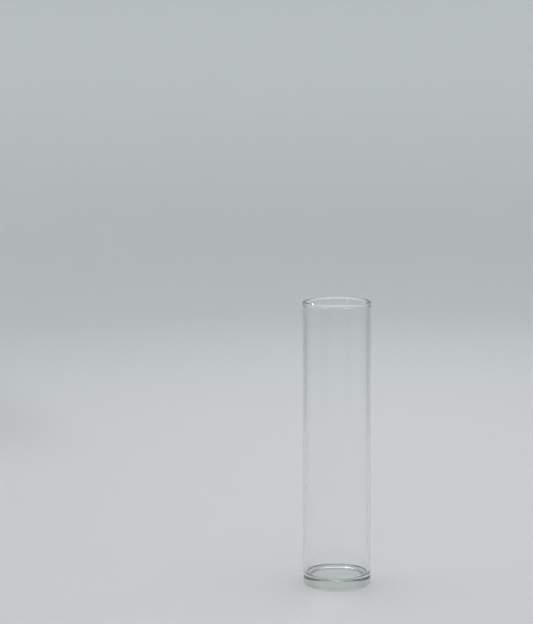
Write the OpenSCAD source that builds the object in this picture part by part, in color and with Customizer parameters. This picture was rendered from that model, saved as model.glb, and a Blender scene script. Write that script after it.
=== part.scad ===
// Straight glass cylinder vase with a heavy clear base.
// It is one piece of glass: wall, base and rim run into each other without a joint.
// The vase stands on Z = 0 with its mouth up, centred on the Z axis. All sizes are in millimetres.

/* [Body] */
// Outside diameter of the straight wall
body_d = 45.5; // [36:0.5:90]
// Height from the table to the top of the rim
body_h = 193; // [80:0.5:300]
// Thickness of the straight wall
wall_t = 2.2; // [1.5:0.1:4]

/* [Base] */
// Height of the inside floor above the table
floor_h = 8; // [5:0.5:25]
// Radius of the fillet that runs the inside floor into the wall
floor_fillet_r = 1.5; // [0.5:0.1:5]
// Radius of the rounded heel around the bottom edge
heel_r = 2; // [0.5:0.1:4]

/* [Foot] */
// Width of the flat ring that rests on the table
foot_ring_w = 1.8; // [1:0.1:5]
// Depth of the push-up, the shallow hollow pressed up under the base
pushup_depth = 0.4; // [0.3:0.1:2]
// Radius of the cove that runs the push-up down to the foot ring
pushup_cove_r = 14; // [2:0.5:20]

/* [Rim] */
// How far the fire-polished bead stands out from each face of the wall
bead_proud = 0.2; // [0.05:0.05:0.8]

/* [Hidden] */
$fn = 180;

clear_glass = [0.80, 0.90, 0.88, 0.45];

body_r = body_d / 2;
bore_r = body_r - wall_t;

// The bead is a ring of round section, centred on the middle of the wall.
bead_r = wall_t / 2 + bead_proud;
bead_ring_r = body_r - wall_t / 2;
bead_h = body_h - bead_r;

// The push-up is flat in the middle, and its cove ends at the inner edge of the foot ring.
pushup_edge_r = body_r - heel_r - foot_ring_w;
pushup_flat_r = pushup_edge_r - sqrt(pushup_cove_r ^ 2 - (pushup_cove_r - pushup_depth) ^ 2);

// The glass that a quarter round of radius r leaves outside itself in a square corner,
// with the corner at radius corner_r and height corner_h.
module corner_outside_round(corner_r, corner_h, r) {
    translate([corner_r - r, corner_h]) difference() {
        square(r);
        translate([0, r]) circle(r);
    }
}

// Half section of the solid form: base, heel and wall, up to the middle of the bead
module outer_section() {
    difference() {
        square([body_r, bead_h]);
        corner_outside_round(body_r, 0, heel_r);
    }
}

// Half section of the space inside, from the floor up past the rim
module cavity_section() {
    difference() {
        translate([0, floor_h]) square([bore_r, body_h]);
        corner_outside_round(bore_r, floor_h, floor_fillet_r);
    }
}

// Half section of the hollow under the base
module pushup_section() {
    square([pushup_flat_r, pushup_depth]);
    translate([pushup_flat_r, 0]) intersection() {
        translate([0, pushup_depth - pushup_cove_r]) circle(pushup_cove_r);
        square([pushup_cove_r, pushup_depth]);
    }
}

// Section of the rounded rim
module bead_section() {
    translate([bead_ring_r, bead_h]) circle(bead_r);
}

// The whole vessel
module glass_vase() {
    color(clear_glass) rotate_extrude() {
        difference() {
            outer_section();
            cavity_section();
            pushup_section();
        }
        bead_section();
    }
}

glass_vase();
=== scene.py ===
import math
import bpy
from mathutils import Euler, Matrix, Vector


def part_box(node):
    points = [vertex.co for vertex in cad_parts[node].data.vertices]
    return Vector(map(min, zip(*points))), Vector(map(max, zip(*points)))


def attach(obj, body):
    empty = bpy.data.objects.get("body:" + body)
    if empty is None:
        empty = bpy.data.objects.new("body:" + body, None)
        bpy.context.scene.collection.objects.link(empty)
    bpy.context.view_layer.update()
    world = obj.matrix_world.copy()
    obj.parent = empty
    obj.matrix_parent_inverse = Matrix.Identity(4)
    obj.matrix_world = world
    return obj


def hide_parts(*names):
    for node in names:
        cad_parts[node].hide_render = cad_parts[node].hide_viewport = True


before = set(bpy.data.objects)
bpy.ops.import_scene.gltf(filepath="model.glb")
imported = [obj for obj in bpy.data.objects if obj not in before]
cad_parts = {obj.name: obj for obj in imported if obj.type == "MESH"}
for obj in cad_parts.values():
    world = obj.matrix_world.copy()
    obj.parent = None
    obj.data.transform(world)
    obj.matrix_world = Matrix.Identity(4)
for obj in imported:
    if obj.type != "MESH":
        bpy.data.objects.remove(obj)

bl_info = {
    "name": "Glass cylinder vase",
    "version": (1, 0, 0),
    "blender": (4, 5, 0),
    "location": "3D View > Sidebar > Vase",
    "description": "Builds a clear glass cylinder vase around its packed frame, with a pale studio",
    "category": "Add Mesh",
}

NODE = "glass_vase"
LOW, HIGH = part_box(NODE)
BEAD_OUTER_R = min(HIGH.x, HIGH.y, -LOW.x, -LOW.y)
TOP_H = HIGH.z

# Points along each rounded corner of the section
ROUND_POINTS = 14
# Radius of the bead's quarter rounds, as a share of the bead's own, so that they don't quite meet
QUARTER_ROUND = 0.999
# Radius of the soft bends from the wall into the bead, as a share of the neck's height
NECK_BEND = 1.5
# Radius of the foot ring's inner edge, as a share of its width
FOOT_EDGE = 0.4
# Points of the mesh that are closer than this, in metres, are one point
SAME_POINT = 2e-7

# The lamps: name, width and height, power in watts, and place. All of them aim at the foot of the vase.
LAMPS = (
    ("overhead", (0.9, 0.9), 5.0, (0.0, 0.3, 1.6)),
    ("left_glint", (0.12, 0.5), 0.7, (-0.62, -0.75, 0.62)),
    ("right_glint", (0.05, 0.3), 0.2, (0.5, -0.8, 0.6)),
    ("back_right_glint", (0.07, 0.07), 0.9, (0.20, 1.15, 0.78)),
    ("back_left_glint", (0.04, 0.04), 0.35, (-0.18, 1.15, 0.78)),
)


class VaseSizes(bpy.types.PropertyGroup):
    """Sizes of the vessel. The overall height and width come from the frame."""

    bead_proud: bpy.props.FloatProperty(
        name="Bead proud", description="How far the rim bead stands out from each face of the wall",
        default=0.0002, min=0.0, unit="LENGTH")
    wall_t: bpy.props.FloatProperty(
        name="Wall", description="Thickness of the straight wall",
        default=0.0022, min=0.001, unit="LENGTH")
    floor_h: bpy.props.FloatProperty(
        name="Floor height", description="Height of the inside floor above the table",
        default=0.008, min=0.002, unit="LENGTH")
    floor_fillet_r: bpy.props.FloatProperty(
        name="Floor fillet", description="Radius that runs the inside floor into the wall",
        default=0.0015, min=0.0, unit="LENGTH")
    heel_r: bpy.props.FloatProperty(
        name="Heel radius", description="Radius of the rounded bottom edge",
        default=0.002, min=0.0, unit="LENGTH")
    foot_ring_w: bpy.props.FloatProperty(
        name="Foot ring", description="Width of the ring that rests on the table",
        default=0.0018, min=0.0, unit="LENGTH")
    pushup_depth: bpy.props.FloatProperty(
        name="Push-up depth", description="Depth of the hollow under the base",
        default=0.0004, min=0.0, unit="LENGTH")
    pushup_cove_r: bpy.props.FloatProperty(
        name="Push-up cove", description="Radius that runs the hollow down to the foot ring",
        default=0.014, min=0.001, unit="LENGTH")
    neck_h: bpy.props.FloatProperty(
        name="Neck", description="Height over which the wall swells into the rim bead",
        default=0.0018, min=0.0, unit="LENGTH")
    sides: bpy.props.IntProperty(
        name="Sides", description="Steps around the vessel", default=256, min=32, max=512)


class GlassLook(bpy.types.PropertyGroup):
    """Colours and finish of the glass."""

    tint: bpy.props.FloatVectorProperty(
        name="Tint", description="Colour that light keeps on its way through thick glass",
        subtype="COLOR", size=3, default=(0.64, 0.80, 0.70), min=0.0, max=1.0)
    tint_density: bpy.props.FloatProperty(
        name="Tint density", description="How strongly the glass takes colour away, per metre",
        default=7.0, min=0.0)
    ior: bpy.props.FloatProperty(
        name="IOR", description="Refractive index of soda-lime glass", default=1.52, min=1.0, max=2.0)
    mirrorings: bpy.props.FloatProperty(
        name="Mirrorings", description="How often light is mirrored in the glass before it gets straight out",
        default=3.5, min=0.5)
    trapped: bpy.props.FloatVectorProperty(
        name="Trapped light", description="Colour kept by light that gets out after many mirrorings",
        subtype="COLOR", size=3, default=(0.07, 0.095, 0.085), min=0.0, max=1.0)
    shadow: bpy.props.FloatVectorProperty(
        name="Shadow", description="Colour that lamp light keeps at each face on its straight way through",
        subtype="COLOR", size=3, default=(0.92, 0.94, 0.93), min=0.0, max=1.0)
    ripple: bpy.props.FloatProperty(
        name="Ripple", description="Strength of the soft draw lines that run up the wall",
        default=0.03, min=0.0, max=1.0)
    smudge: bpy.props.FloatProperty(
        name="Smudge", description="Roughness of the faint handling marks on the wall",
        default=0.03, min=0.0, max=1.0)
    scuff: bpy.props.FloatProperty(
        name="Scuff", description="Roughness of the foot ring, which has rubbed on tables",
        default=0.32, min=0.0, max=1.0)


class StudioLook(bpy.types.PropertyGroup):
    """The pale studio and the camera."""

    paper: bpy.props.FloatVectorProperty(
        name="Paper", description="Colour of the floor around the vase",
        subtype="COLOR", size=3, default=(0.612, 0.604, 0.612), min=0.0, max=1.0)
    far_paper: bpy.props.FloatVectorProperty(
        name="Far paper", description="Colour of the floor away from the vase and of the backdrop",
        subtype="COLOR", size=3, default=(0.608, 0.630, 0.630), min=0.0, max=1.0)
    # Painted shade: the paper is made darker away from the vase, where the floor turns up into the backdrop
    far_dark: bpy.props.FloatProperty(
        name="Far painted shade", description="How much darker the floor is where it turns up",
        default=0.05, min=0.0, max=1.0)
    # Painted light: the backdrop is made lighter higher up
    wall_light: bpy.props.FloatProperty(
        name="Wall painted light", description="How much lighter the backdrop is above the floor",
        default=0.20, min=0.0, max=1.0)
    # Painted shade: the paper is made darker on its four diagonals
    wing_dark: bpy.props.FloatProperty(
        name="Wing painted shade", description="How much darker the paper is on the diagonals, "
        "which draws the edges of clear glass",
        default=0.18, min=0.0, max=1.0)
    sky: bpy.props.FloatProperty(
        name="Sky", description="Strength of the soft light that comes in over the backdrop",
        default=1.15, min=0.0)
    camera_distance: bpy.props.FloatProperty(
        name="Camera distance", description="Level distance from the vase to the camera",
        default=1.156, min=0.1, unit="LENGTH")
    camera_height: bpy.props.FloatProperty(
        name="Camera height", description="Height of the camera above the floor",
        default=0.3405, min=0.0, unit="LENGTH")
    camera_pitch: bpy.props.FloatProperty(
        name="Camera pitch", description="How far the camera looks down",
        default=math.radians(7.62), unit="ROTATION")
    camera_yaw: bpy.props.FloatProperty(
        name="Camera yaw", description="How far the camera looks to the vase's left",
        default=math.radians(2.32), unit="ROTATION")
    camera_roll: bpy.props.FloatProperty(
        name="Camera roll", description="Small turn of the camera about its own view",
        default=math.radians(-0.34), unit="ROTATION")
    camera_lens: bpy.props.FloatProperty(
        name="Lens", description="Focal length of the camera in millimetres", default=100.96, min=10.0)


# ---------------------------------------------------------------- node tree helper

class Tree:
    """A node tree, with short calls to add nodes and wire them up."""

    COLUMNS = 12
    COLUMN_W = 180
    ROW_H = 220

    def __init__(self, tree):
        self.tree = tree
        self.count = 0

    def node(self, kind, inputs=(), **settings):
        made = self.tree.nodes.new(kind)
        row, column = divmod(self.count, self.COLUMNS)
        made.location = (self.COLUMN_W * column, -self.ROW_H * row)
        self.count += 1
        for name, value in settings.items():
            setattr(made, name, value)
        for socket, value in dict(inputs).items():
            self.feed(made.inputs[socket], value)
        return made

    def feed(self, socket, value):
        if isinstance(value, bpy.types.NodeSocket):
            self.tree.links.new(value, socket)
        else:
            socket.default_value = value

    def math(self, operation, *values):
        made = self.node("ShaderNodeMath", operation=operation)
        for socket, value in zip(made.inputs, values):
            self.feed(socket, value)
        return made.outputs[0]

    def square(self, value):
        return self.math("MULTIPLY", value, value)

    def join(self, x, y, z):
        return self.node("ShaderNodeCombineXYZ", {"X": x, "Y": y, "Z": z}).outputs[0]

    def split(self, vector):
        return self.node("ShaderNodeSeparateXYZ", {"Vector": vector}).outputs

    def noise(self, place, scale, detail):
        return self.node("ShaderNodeTexNoise", {"Vector": place, "Scale": scale,
                                                "Detail": detail}).outputs["Fac"]

    def ramp(self, value, start, end, kind="LINEAR"):
        """From 0 at start to 1 at end, and held outside them. The end may be lower than the start."""
        return self.node("ShaderNodeMapRange", {"Value": value, "From Min": start, "From Max": end},
                         interpolation_type=kind).outputs[0]


# ---------------------------------------------------------------- vessel

def section_corners(t, size):
    """The half section's corners from the middle of the inside floor, up the bore, over the rim
    and down to the middle of the push-up. Each has its x, its z and the radius that rounds it."""
    bore_r = t.math("SUBTRACT", size["Outer radius"], size["Wall"])
    bead_out = t.math("ADD", size["Outer radius"], size["Bead proud"])
    bead_in = t.math("SUBTRACT", bore_r, size["Bead proud"])
    bead_r = t.math("MULTIPLY", t.math("SUBTRACT", bead_out, bead_in), 0.5)
    bead_h = t.math("SUBTRACT", size["Height"], bead_r)
    neck_h = t.math("SUBTRACT", bead_h, size["Neck"])
    bead_round = t.math("MULTIPLY", bead_r, QUARTER_ROUND)
    neck_bend = t.math("MULTIPLY", size["Neck"], NECK_BEND)
    foot_edge = t.math("MULTIPLY", size["Foot ring"], FOOT_EDGE)
    foot_out = t.math("SUBTRACT", size["Outer radius"], size["Heel radius"])
    foot_in = t.math("SUBTRACT", foot_out, size["Foot ring"])
    # The corner where the tangents of the cove's two ends cross, so that a fillet gives back the cove
    drop = t.math("SUBTRACT", size["Push-up cove"], size["Push-up depth"])
    cove_w = t.math("SQRT", t.math("SUBTRACT", t.square(size["Push-up cove"]), t.square(drop)))
    slope = t.math("DIVIDE", cove_w, drop)
    cove_corner = t.math("SUBTRACT", foot_in, t.math("DIVIDE", size["Push-up depth"], slope))
    return [
        (0.0, size["Floor height"], 0.0),
        (bore_r, size["Floor height"], size["Floor fillet"]),
        (bore_r, neck_h, neck_bend),
        (bead_in, bead_h, neck_bend),
        (bead_in, size["Height"], bead_round),
        (bead_out, size["Height"], bead_round),
        (bead_out, bead_h, neck_bend),
        (size["Outer radius"], neck_h, neck_bend),
        (size["Outer radius"], 0.0, size["Heel radius"]),
        (foot_in, 0.0, foot_edge),
        (cove_corner, size["Push-up depth"], size["Push-up cove"]),
        (0.0, size["Push-up depth"], 0.0),
    ]


def rounded_section(t, corners):
    """A line through the corners, with each corner rounded."""
    line = t.node("GeometryNodeMeshLine", {"Count": len(corners), "Offset": (0.0, 0.0, 0.0)},
                  mode="OFFSET")
    index = t.node("GeometryNodeInputIndex").outputs[0]
    place = t.node("GeometryNodeIndexSwitch", data_type="VECTOR")
    round_r = t.node("GeometryNodeIndexSwitch", data_type="FLOAT")
    for switch in (place, round_r):
        while len(switch.index_switch_items) < len(corners):
            switch.index_switch_items.new()
        t.feed(switch.inputs["Index"], index)
    for i, (x, z, r) in enumerate(corners):
        t.feed(place.inputs[str(i)], t.join(x, 0.0, z))
        t.feed(round_r.inputs[str(i)], r)
    placed = t.node("GeometryNodeSetPosition", {"Geometry": line.outputs[0],
                                                "Position": place.outputs[0]})
    curve = t.node("GeometryNodeMeshToCurve", {"Mesh": placed.outputs[0]})
    rounded = t.node("GeometryNodeFilletCurve", {"Curve": curve.outputs[0], "Count": ROUND_POINTS,
                                                 "Radius": round_r.outputs[0], "Limit Radius": True},
                     mode="POLY")
    return t.node("GeometryNodeCurveToMesh", {"Curve": rounded.outputs[0]}).outputs[0]


def turned_section(t, size, section):
    """One copy of the section for each step around, skinned into faces about the Z axis."""
    points = t.node("GeometryNodeAttributeDomainSize", {"Geometry": section}).outputs["Point Count"]
    copies = t.math("ADD", size["Sides"], 1.0)
    grid = t.node("GeometryNodeMeshGrid", {"Size X": 1.0, "Size Y": 1.0,
                                          "Vertices X": points, "Vertices Y": copies})
    index = t.node("GeometryNodeInputIndex").outputs[0]
    # The added half keeps the division clear of whole numbers
    along = t.math("FLOOR", t.math("DIVIDE", t.math("ADD", index, 0.5), copies))
    around = t.math("FLOORED_MODULO", index, copies)
    sample = t.node("GeometryNodeSampleIndex", {"Geometry": section, "Index": along},
                    data_type="FLOAT_VECTOR", domain="POINT")
    t.feed(sample.inputs["Value"], t.node("GeometryNodeInputPosition").outputs[0])
    place = t.split(sample.outputs["Value"])
    angle = t.math("DIVIDE", t.math("MULTIPLY", around, math.tau), size["Sides"])
    turned = t.join(t.math("MULTIPLY", place["X"], t.math("COSINE", angle)),
                    t.math("MULTIPLY", place["X"], t.math("SINE", angle)), place["Z"])
    return t.node("GeometryNodeSetPosition", {"Geometry": grid.outputs["Mesh"],
                                              "Position": turned}).outputs[0]


def lathe_tree():
    """Geometry nodes that draw the half section and turn it about the Z axis."""
    group = bpy.data.node_groups.new("vase_lathe", "GeometryNodeTree")
    group.interface.new_socket("Geometry", in_out="OUTPUT", socket_type="NodeSocketGeometry")
    for name in ("Outer radius", "Height", "Wall", "Bead proud", "Floor height", "Floor fillet",
                 "Heel radius", "Foot ring", "Push-up depth", "Push-up cove", "Neck"):
        group.interface.new_socket(name, in_out="INPUT", socket_type="NodeSocketFloat")
    group.interface.new_socket("Sides", in_out="INPUT", socket_type="NodeSocketInt")
    group.interface.new_socket("Glass", in_out="INPUT", socket_type="NodeSocketMaterial")
    t = Tree(group)
    size = t.node("NodeGroupInput").outputs
    section = rounded_section(t, section_corners(t, size))
    lathe = turned_section(t, size, section)
    closed = t.node("GeometryNodeMergeByDistance", {"Geometry": lathe, "Distance": SAME_POINT})
    smooth = t.node("GeometryNodeSetShadeSmooth", {"Geometry": closed.outputs[0]})
    real = t.node("GeometryNodeRealizeInstances", {"Geometry": smooth.outputs[0]})
    dressed = t.node("GeometryNodeSetMaterial", {"Geometry": real.outputs[0],
                                                 "Material": size["Glass"]})
    t.node("NodeGroupOutput", {"Geometry": dressed.outputs[0]})
    return group


def plain_mesh(name, tree, values):
    """The tree's result as a plain mesh object at the origin, with its inputs set by identifier."""
    holder = bpy.data.objects.new(name + "_holder", bpy.data.meshes.new(name + "_holder"))
    bpy.context.scene.collection.objects.link(holder)
    modifier = holder.modifiers.new("lathe", "NODES")
    modifier.node_group = tree
    for item in tree.interface.items_tree:
        if item.item_type == "SOCKET" and item.in_out == "INPUT":
            modifier[item.identifier] = values[item.name]
    bpy.context.view_layer.update()
    evaluated = holder.evaluated_get(bpy.context.evaluated_depsgraph_get())
    mesh = bpy.data.meshes.new_from_object(evaluated)
    bpy.data.objects.remove(holder)
    mesh.name = name
    # The tree leaves an empty first slot, so it goes and the faces take the slot that is left
    while len(mesh.materials) > 1 and mesh.materials[0] is None:
        mesh.materials.pop(index=0)
    for polygon in mesh.polygons:
        polygon.material_index = 0
    piece = bpy.data.objects.new(name, mesh)
    bpy.context.scene.collection.objects.link(piece)
    return piece


# ---------------------------------------------------------------- materials

def clear_glass(look):
    """Clear soda-lime glass with a faint cast where it is thick."""
    lines_per_metre = (110.0, 110.0, 2.5)
    line_depth = 0.0002
    patches_per_metre = 38.0
    patch_from, patch_full = 0.56, 0.72
    specks_per_metre = 900.0
    foot_top = 0.0004
    foot_full = 0.0001
    material = bpy.data.materials.new("clear_soda_lime_glass")
    material.use_nodes = True
    t = Tree(material.node_tree)
    material.node_tree.nodes.clear()
    output = t.node("ShaderNodeOutputMaterial")
    place = t.node("ShaderNodeTexCoord").outputs["Object"]
    # Draw lines: soft ripples, narrow around the wall and long up it
    drawn = t.node("ShaderNodeVectorMath", {0: place, 1: lines_per_metre},
                   operation="MULTIPLY").outputs[0]
    bump = t.node("ShaderNodeBump", {"Strength": look.ripple, "Distance": line_depth,
                                     "Height": t.noise(drawn, scale=1.0, detail=1.0)})
    # Handling marks: a few cloudy patches, broken up by fine specks
    specks = t.noise(place, specks_per_metre, detail=2.0)
    patches = t.noise(place, patches_per_metre, detail=2.0)
    marks = t.ramp(patches, patch_from, patch_full)
    cloudy = t.math("MULTIPLY", t.math("MULTIPLY", marks, specks), look.smudge)
    # The foot ring is rubbed dull
    foot = t.ramp(t.split(place)["Z"], foot_top, foot_full)
    rubbed = t.math("MULTIPLY", t.math("MULTIPLY", foot, specks), look.scuff)
    glass = t.node("ShaderNodeBsdfPrincipled", {"Base Color": (1.0, 1.0, 1.0, 1.0), "IOR": look.ior,
                                                "Roughness": t.math("ADD", cloudy, rubbed),
                                                "Normal": bump.outputs[0],
                                                "Transmission Weight": 1.0})
    # Light that has been mirrored many times inside the wall gets out dimmed, so the rim isn't black
    path = t.node("ShaderNodeLightPath").outputs
    trapped = t.math("GREATER_THAN", path["Glossy Depth"], look.mirrorings)
    dim = t.node("ShaderNodeBsdfTransparent", {"Color": (*look.trapped, 1.0)})
    bent = t.node("ShaderNodeMixShader", {"Fac": trapped, 1: glass.outputs[0], 2: dim.outputs[0]})
    # Lamps shine straight through the glass, so that it casts hardly any shadow
    through = t.node("ShaderNodeBsdfTransparent", {"Color": (*look.shadow, 1.0)})
    both = t.node("ShaderNodeMixShader", {"Fac": path["Is Shadow Ray"], 1: bent.outputs[0],
                                          2: through.outputs[0]})
    depth = t.node("ShaderNodeVolumeAbsorption", {"Color": (*look.tint, 1.0),
                                                  "Density": look.tint_density})
    t.feed(output.inputs["Surface"], both.outputs[0])
    t.feed(output.inputs["Volume"], depth.outputs[0])
    return material


def studio_paper(look):
    """Matt pale paper of the floor and backdrop: its colour changes with the distance from the vase, with
    painted shade at the bend and on the diagonals and painted light higher up the backdrop.
    """
    roughness = 0.6
    far_from, far_full = 0.55, 1.05
    rise_from, rise_full = 0.02, 0.45
    # A diagonal is where x times y is half of the square of the distance
    wing_from, wing_full = 0.36, 0.5
    wing_near, wing_far = 0.42, 0.72
    material = bpy.data.materials.new("studio_paper")
    material.use_nodes = True
    t = Tree(material.node_tree)
    shader = material.node_tree.nodes["Principled BSDF"]
    shader.inputs["Roughness"].default_value = roughness
    place = t.split(t.node("ShaderNodeTexCoord").outputs["Object"])
    away = t.math("SQRT", t.math("ADD", t.square(place["X"]), t.square(place["Y"])))
    # far sets both the change to the far paper colour and the painted shade where the floor turns up
    far = t.ramp(away, far_from, far_full, "SMOOTHSTEP")
    # Painted light: rise makes the backdrop lighter the higher it stands
    rise = t.ramp(place["Z"], rise_from, rise_full, "SMOOTHSTEP")
    cross = t.math("ABSOLUTE", t.math("MULTIPLY", place["X"], place["Y"]))
    # The small addition keeps the middle of the floor from dividing by zero
    diagonal = t.math("DIVIDE", cross, t.math("ADD", t.square(away), 1e-6))
    # Painted shade on the four diagonals, away from the vase, which the clear glass shows as dark edges
    wing = t.math("MULTIPLY", t.ramp(diagonal, wing_from, wing_full, "SMOOTHSTEP"),
                  t.ramp(away, wing_near, wing_far, "SMOOTHSTEP"))
    # The painted shade of the diagonals and of the bend, and the painted light up the backdrop, scale the
    # paper's colour
    dark = t.math("ADD", t.math("MULTIPLY", wing, look.wing_dark),
                  t.math("MULTIPLY", far, look.far_dark))
    light = t.math("ADD", t.math("SUBTRACT", 1.0, dark), t.math("MULTIPLY", rise, look.wall_light))
    # Sockets 6 and 7 of a Mix node are the two colours, and its output 2 is the mixed one
    tone = t.node("ShaderNodeMix", {"Factor": far, 6: (*look.paper, 1.0), 7: (*look.far_paper, 1.0)},
                  data_type="RGBA").outputs[2]
    colour = t.node("ShaderNodeVectorMath", {0: tone, "Scale": light}, operation="SCALE").outputs[0]
    t.feed(shader.inputs["Base Color"], colour)
    # The paper can't be seen from below, so that the foot can be looked at
    below = t.node("ShaderNodeNewGeometry").outputs["Backfacing"]
    clear = t.node("ShaderNodeBsdfTransparent").outputs[0]
    one_sided = t.node("ShaderNodeMixShader", {"Fac": below, 1: shader.outputs[0], 2: clear})
    t.feed(material.node_tree.nodes["Material Output"].inputs["Surface"], one_sided.outputs[0])
    return material


# ---------------------------------------------------------------- studio

def build_sweep(look):
    """A round floor that curves up into a backdrop on all sides."""
    floor_r = 1.3
    # Rings of points on the flat floor, as shares of its radius
    floor_rings = (0.0, 0.25, 0.6, 1.0)
    bend_r = 0.7
    bend_steps = 16
    wall_h = 2.6
    turns = 96
    gap_under_foot = 0.00005
    profile = [(floor_r * share, 0.0) for share in floor_rings]
    for i in range(1, bend_steps + 1):
        a = math.pi / 2 * i / bend_steps
        profile.append((floor_r + bend_r * math.sin(a), bend_r * (1 - math.cos(a))))
    profile.append((floor_r + bend_r, wall_h))
    vertices = []
    for x, z in profile:
        for k in range(turns):
            a = math.tau * k / turns
            vertices.append((x * math.cos(a), x * math.sin(a), z - gap_under_foot))
    faces = []
    for i in range(len(profile) - 1):
        for k in range(turns):
            n = (k + 1) % turns
            faces.append((i * turns + k, (i + 1) * turns + k, (i + 1) * turns + n, i * turns + n))
    mesh = bpy.data.meshes.new("sweep")
    mesh.from_pydata(vertices, [], faces)
    for polygon in mesh.polygons:
        polygon.use_smooth = True
    mesh.materials.append(studio_paper(look))
    sweep = bpy.data.objects.new("sweep", mesh)
    bpy.context.scene.collection.objects.link(sweep)


def build_lights(look):
    """Broad soft light from the open sky over the backdrop, with small lamps for the glints."""
    cool_white = (0.96, 0.985, 1.0, 1.0)
    world = bpy.data.worlds.new("studio")
    bpy.context.scene.world = world
    world.use_nodes = True
    background = world.node_tree.nodes["Background"]
    background.inputs["Color"].default_value = cool_white
    background.inputs["Strength"].default_value = look.sky
    for name, size, power, place in LAMPS:
        data = bpy.data.lights.new(name, "AREA")
        data.shape = "RECTANGLE"
        data.size, data.size_y = size
        data.energy = power
        lamp = bpy.data.objects.new(name, data)
        lamp.location = place
        lamp.rotation_euler = (-Vector(place)).to_track_quat("-Z", "Y").to_euler()
        bpy.context.scene.collection.objects.link(lamp)


def build_camera(look):
    """The camera in front of the vase, looking slightly down."""
    data = bpy.data.cameras.new("camera")
    data.lens = look.camera_lens
    data.sensor_width = 36.0
    camera = bpy.data.objects.new("camera", data)
    camera.location = (0.0, -look.camera_distance, look.camera_height)
    turn = Euler((math.pi / 2 - look.camera_pitch, 0.0, look.camera_yaw), "XYZ").to_matrix()
    roll = Euler((0.0, 0.0, look.camera_roll), "XYZ").to_matrix()
    camera.rotation_euler = (turn @ roll).to_euler()
    bpy.context.scene.collection.objects.link(camera)
    bpy.context.scene.camera = camera


# ---------------------------------------------------------------- operators and panel

class VASE_OT_vessel(bpy.types.Operator):
    """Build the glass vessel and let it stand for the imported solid"""

    bl_idname = "vase.vessel"
    bl_label = "Glass vessel"

    def execute(self, context):
        sizes = context.scene.vase_sizes
        piece = plain_mesh("vessel", lathe_tree(), {
            "Outer radius": BEAD_OUTER_R - sizes.bead_proud,
            "Height": TOP_H,
            "Wall": sizes.wall_t,
            "Bead proud": sizes.bead_proud,
            "Floor height": sizes.floor_h,
            "Floor fillet": sizes.floor_fillet_r,
            "Heel radius": sizes.heel_r,
            "Foot ring": sizes.foot_ring_w,
            "Push-up depth": sizes.pushup_depth,
            "Push-up cove": sizes.pushup_cove_r,
            "Neck": sizes.neck_h,
            "Sides": sizes.sides,
            "Glass": clear_glass(context.scene.vase_glass),
        })
        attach(piece, "root")
        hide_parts(NODE)
        return {"FINISHED"}


class VASE_OT_stage(bpy.types.Operator):
    """Build the floor, the backdrop, the lights and the camera"""

    bl_idname = "vase.stage"
    bl_label = "Studio"

    def execute(self, context):
        look = context.scene.vase_studio
        build_sweep(look)
        build_lights(look)
        build_camera(look)
        return {"FINISHED"}


class VASE_PT_panel(bpy.types.Panel):
    """The vase's sizes and its build buttons"""

    bl_idname = "VASE_PT_panel"
    bl_label = "Glass cylinder vase"
    bl_space_type = "VIEW_3D"
    bl_region_type = "UI"
    bl_category = "Vase"

    def draw(self, context):
        layout = self.layout
        scene = context.scene
        for owner in (scene.vase_sizes, scene.vase_glass, scene.vase_studio):
            for name in owner.__annotations__:
                layout.prop(owner, name)
        layout.operator(VASE_OT_vessel.bl_idname)
        layout.operator(VASE_OT_stage.bl_idname)


CLASSES = (VaseSizes, GlassLook, StudioLook, VASE_OT_vessel, VASE_OT_stage, VASE_PT_panel)


def register():
    for cls in CLASSES:
        bpy.utils.register_class(cls)
    bpy.types.Scene.vase_sizes = bpy.props.PointerProperty(type=VaseSizes)
    bpy.types.Scene.vase_glass = bpy.props.PointerProperty(type=GlassLook)
    bpy.types.Scene.vase_studio = bpy.props.PointerProperty(type=StudioLook)


def unregister():
    del bpy.types.Scene.vase_studio
    del bpy.types.Scene.vase_glass
    del bpy.types.Scene.vase_sizes
    for cls in reversed(CLASSES):
        bpy.utils.unregister_class(cls)


def main():
    register()
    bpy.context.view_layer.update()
    bpy.ops.vase.vessel()
    bpy.ops.vase.stage()
    bpy.context.scene.view_settings.view_transform = "Standard"


if __name__ == "__main__":
    main()
